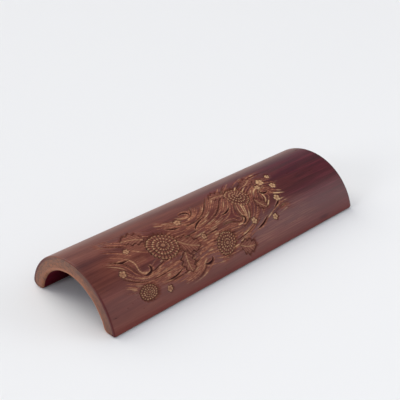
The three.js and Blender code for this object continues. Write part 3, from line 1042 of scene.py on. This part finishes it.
def carved_skin(paint):
    """Shows the paler fibre that the carving bares, and the painted shade in its corners and cuts."""
    fibre = paint.noise((0.35, 1.8, 1.0), detail=4.0, roughness=0.65)
    paint.lay(paint.value("cut", 0.3), paint.ramp(fibre, SCRAPED_FIBRE))
    paint.lay(paint.value("bare", 0.88), paint.ramp(fibre, BARED_FIBRE))
    paint.lay(paint.value("fresh"), paint.ramp(fibre, FRESH_FIBRE))
    paint.lay(paint.value("dark", 0.9), CUT_SHADOW)


def stained_skin():
    """The rubbed, stained and carved skin, polished where the chisel hasn't been."""
    paint = Paint("stained_skin")
    fine = paint.noise((0.045, 1.3, 0.4), detail=4.0, roughness=0.6)
    streaked_skin(paint, fine)
    wear_and_sheen_skin(paint, fine)
    darkened_edges(paint)
    carved_skin(paint)
    polish = paint.between(fine, 0.3, 0.7, at_low=0.34, at_high=0.44)
    roughness = paint.plus(polish, paint.value("cut", 0.35))
    return paint.finish(roughness, fine, 0.03, gloss=0.25)


def sawn_face(paint, saw, mottle, depth):
    """The mottled face: grey-brown under the skin, tan towards the hollow, darker at the front leg."""
    unevenness = paint.times(paint.math("SUBTRACT", mottle, 0.5), 0.8)
    paint.colour = paint.ramp(paint.plus(depth, unevenness), SAWN_FACE)
    paint.lay(paint.between(saw, 0.46, 0.60, at_high=0.6), SAWN_PALE)
    paint.lay(paint.between(mottle, 0.52, 0.38, at_high=0.65), SAWN_DARK)
    paint.lay(paint.between(paint.round, 8.0, 34.0, at_high=0.3), SAWN_FRONT_LEG)

    # Stain has soaked in below the skin in front of the crown
    below_skin = paint.between(depth, 0.52, 0.28, at_high=0.6)
    before_crown = paint.band(paint.round, 13.0, 11.0, 3.0)
    paint.lay(paint.times(before_crown, below_skin), SOAKED_FACE)


def cut_end():
    """A sawn end with the fibre bundles that it cuts through, and saw marks."""
    paint = Paint("cut_end")
    depth = paint.math("DIVIDE", paint.into_wall, NARROW_END.crown_wall)
    saw = paint.noise((0.5, 0.26, 1.3), detail=4.0, roughness=0.65)
    mottle = paint.noise((0.3, 0.5, 0.9), detail=5.0, roughness=0.7)
    sawn_face(paint, saw, mottle, depth)

    # The bundles are small and close under the skin, and large and sparse towards the hollow
    small = paint.between(paint.dots((0.0, 1.9, 2.1)), 0.16, 0.34, at_low=0.34, at_high=0.0)
    large = paint.between(paint.dots((0.0, 0.95, 1.1)), 0.14, 0.30, at_low=0.30, at_high=0.0)
    with_large = paint.mix(large, paint.colour, LARGE_BUNDLE)
    paint.lay(small, SMALL_BUNDLE)
    paint.lay(paint.between(depth, 0.15, 0.7), with_large)

    # A line of dark skin shows at the edge but for the crown, and a painted highlight pales the hollow's
    # rounded lip, least towards the back
    skin_line = paint.between(depth, 0.1, 0.2, at_low=1.0, at_high=0.0)
    unworn = paint.between(paint.math("ABSOLUTE", paint.round), *WORN_RIM)
    paint.lay(paint.times(skin_line, unworn), NARROW_RIM)
    lip = paint.between(depth, 0.86, 1.0, at_high=0.45)
    front = paint.between(paint.round, -30.0, 0.0, at_low=0.15)
    paint.lay(paint.times(lip, front), LIP_PAINTED_HIGHLIGHT)
    return paint.finish(paint.between(saw, 0.3, 0.7, at_low=0.55, at_high=0.7), mottle, 0.08)


def scraped_hollow():
    """The inside, scraped along the fibres and stained dark, with painted shade darkest deep inside."""
    paint = Paint("scraped_hollow")
    fine = paint.noise((0.02, 2.0, 0.0), detail=5.0, roughness=0.6)
    broad = paint.noise((0.02, 0.3, 0.0), detail=3.0)
    streaks = paint.times(paint.plus(fine, broad), 0.5)
    paint.colour = paint.ramp(streaks, HOLLOW_STREAKS)
    # Painted shade darkens the hollow away from its ends
    paint.lay(paint.between(paint.math("ABSOLUTE", paint.along), 80.0, 62.0, at_high=0.85), HOLLOW_PAINTED_SHADE)
    return paint.finish(paint.between(fine, 0.3, 0.7, at_low=0.55, at_high=0.68), fine, 0.06, gloss=0.05)


def ground_foot():
    """The feet, ground flat and darkened by handling."""
    paint = Paint("ground_foot")
    fine = paint.noise((0.05, 3.0, 0.0), detail=4.0, roughness=0.6)
    paint.colour = paint.ramp(fine, FOOT_STREAKS)
    return paint.finish(paint.between(fine, 0.3, 0.7, at_low=0.48, at_high=0.6), fine, 0.04)


# The room

def pale_floor():
    material = bpy.data.materials.new("pale_floor")
    material.use_nodes = True
    inputs = material.node_tree.nodes["Principled BSDF"].inputs
    inputs["Base Color"].default_value = linear(FLOOR_COLOUR)
    inputs["Roughness"].default_value = 0.9
    inputs["Specular IOR Level"].default_value = 0.2
    return material


def floor():
    """A pale floor with a cove at its edge, so that low views show no horizon."""
    corners = []
    for step in range(COVE.steps + 1):
        angle = QUARTER_TURN * step / COVE.steps
        radius = ROOM.floor_radius + COVE.run * math.sin(angle)
        z = COVE.rise * (1 - math.cos(angle))
        for side in range(ROOM.sides):
            turn = FULL_TURN * side / ROOM.sides
            corners.append((radius * math.cos(turn), radius * math.sin(turn), z))
    faces = [tuple(range(ROOM.sides))]
    for first in range(0, COVE.steps * ROOM.sides, ROOM.sides):
        for side in range(ROOM.sides):
            here, beside = first + side, first + (side + 1) % ROOM.sides
            faces.append((here, here + ROOM.sides, beside + ROOM.sides, beside))
    mesh = bpy.data.meshes.new("floor")
    mesh.from_pydata(corners, [], faces)
    mesh.shade_smooth()
    mesh.materials.append(pale_floor())
    piece = link("floor", mesh)


def lamp(name, kind, form):
    data = bpy.data.lights.new(name, kind)
    data.energy = form.strength
    data.color = form.colour
    return link(name, data)


def near_lamp(name, form):
    """A soft lamp close by, whose light falls off over the floor."""
    piece = lamp(name, "AREA", form)
    piece.data.size = form.size
    piece.location = form.place
    way = Vector(form.target) - Vector(form.place)
    piece.rotation_euler = way.to_track_quat("-Z", "Y").to_euler()


def far_light(name, form):
    """Light from far off, as soft as its source is wide in degrees."""
    piece = lamp(name, "SUN", form)
    piece.data.angle = math.radians(form.width)
    piece.rotation_euler = Vector(form.direction).to_track_quat("Z", "Y").to_euler()


def sky():
    """Soft even light from all round, slightly blue."""
    world = bpy.data.worlds.new("room")
    world.use_nodes = True
    bpy.context.scene.world = world
    inputs = world.node_tree.nodes["Background"].inputs
    inputs["Color"].default_value = SKY.colour
    inputs["Strength"].default_value = SKY.strength


def camera():
    azimuth = math.radians(CAMERA.azimuth)
    elevation = math.radians(CAMERA.elevation)
    back = Vector((
        math.sin(azimuth) * math.cos(elevation),
        -math.cos(azimuth) * math.cos(elevation),
        math.sin(elevation),
    ))
    data = bpy.data.cameras.new("camera")
    data.lens = CAMERA.lens
    data.sensor_width = CAMERA.sensor_width
    data.clip_start = CAMERA.nearest
    piece = link("camera", data)
    piece.location = Vector(CAMERA.target) + back * CAMERA.distance
    piece.rotation_euler = (-back).to_track_quat("-Z", "Y").to_euler()
    bpy.context.scene.camera = piece


camera()
scoop = carved_half_culm([stained_skin(), cut_end(), scraped_hollow(), ground_foot()])
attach(scoop, "root")
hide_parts("half_culm")

floor()
sky()
far_light("window", WINDOW)
near_lamp("room_lamp", ROOM_LAMP)
far_light("front_card", FRONT_CARD)
far_light("end_card", END_CARD)
bpy.context.scene.view_settings.view_transform = "Standard"
